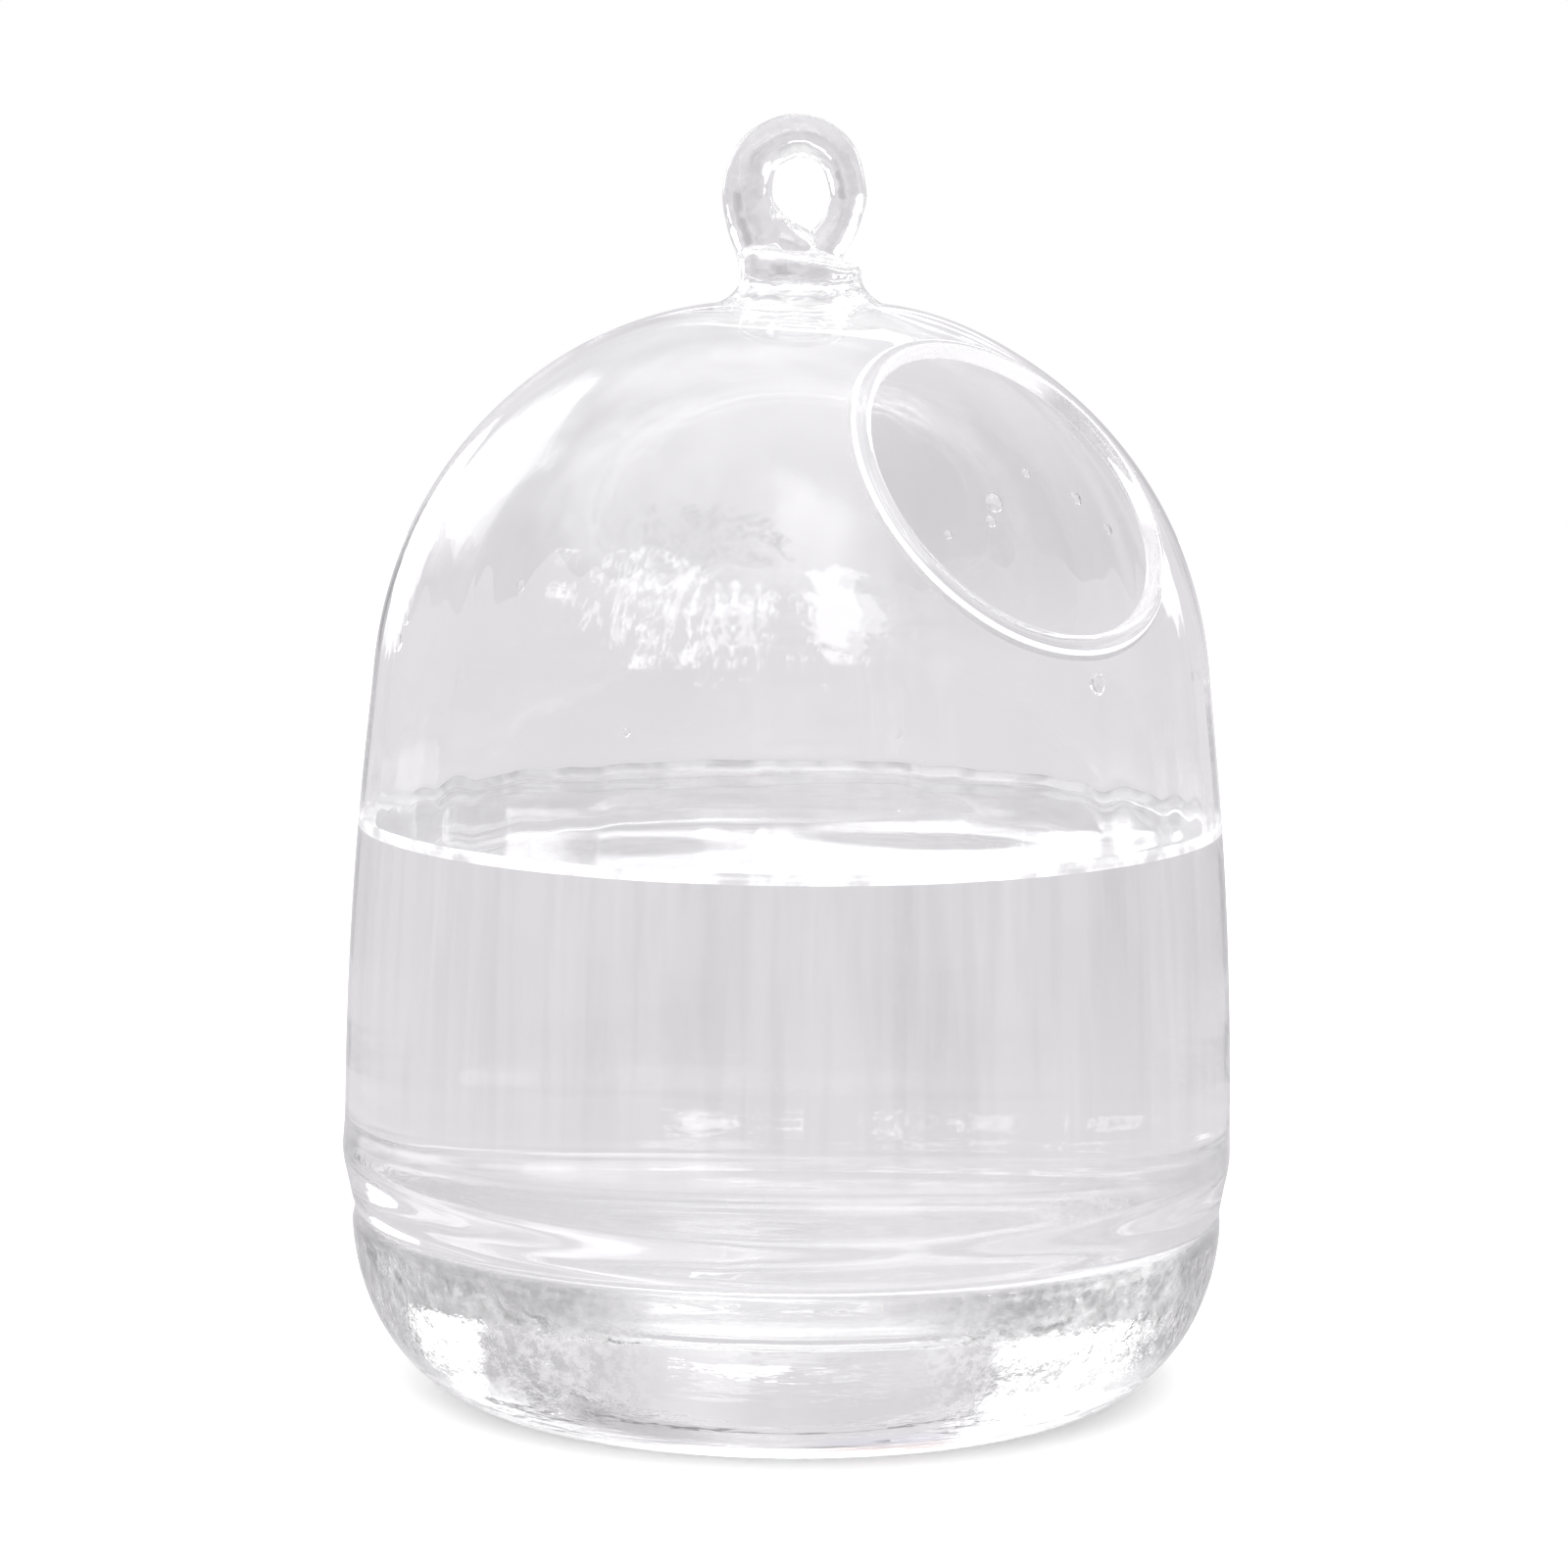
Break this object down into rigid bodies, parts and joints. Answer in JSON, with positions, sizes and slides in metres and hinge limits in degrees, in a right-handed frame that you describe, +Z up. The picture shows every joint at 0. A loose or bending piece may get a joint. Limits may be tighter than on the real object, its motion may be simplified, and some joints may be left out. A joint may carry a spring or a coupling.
{
  "type": "hanging fish bowl",
  "caption": "Dome-shaped clear glass bowl with a thick base, a round slanted side mouth, a bent glass eye on top to hang it by, and water inside.",
  "frame": {"origin": "centre of the flat foot that the bowl stands on", "axes": "+Z up along the bowl's axis, -Y towards the picture's camera, the side mouth faces +X -Y and up"},
  "size_m": [0.15, 0.15, 0.2141],
  "materials": {
    "clear_glass": "gloss",
    "water": "gloss"
  },
  "bodies": {
    "root": {"base": "clear_glass", "body_wall": "clear_glass", "dome": "clear_glass", "mouth_lip": "clear_glass", "neck": "clear_glass", "hanger_loop": "clear_glass", "water": "water"}
  },
  "joints": []
}
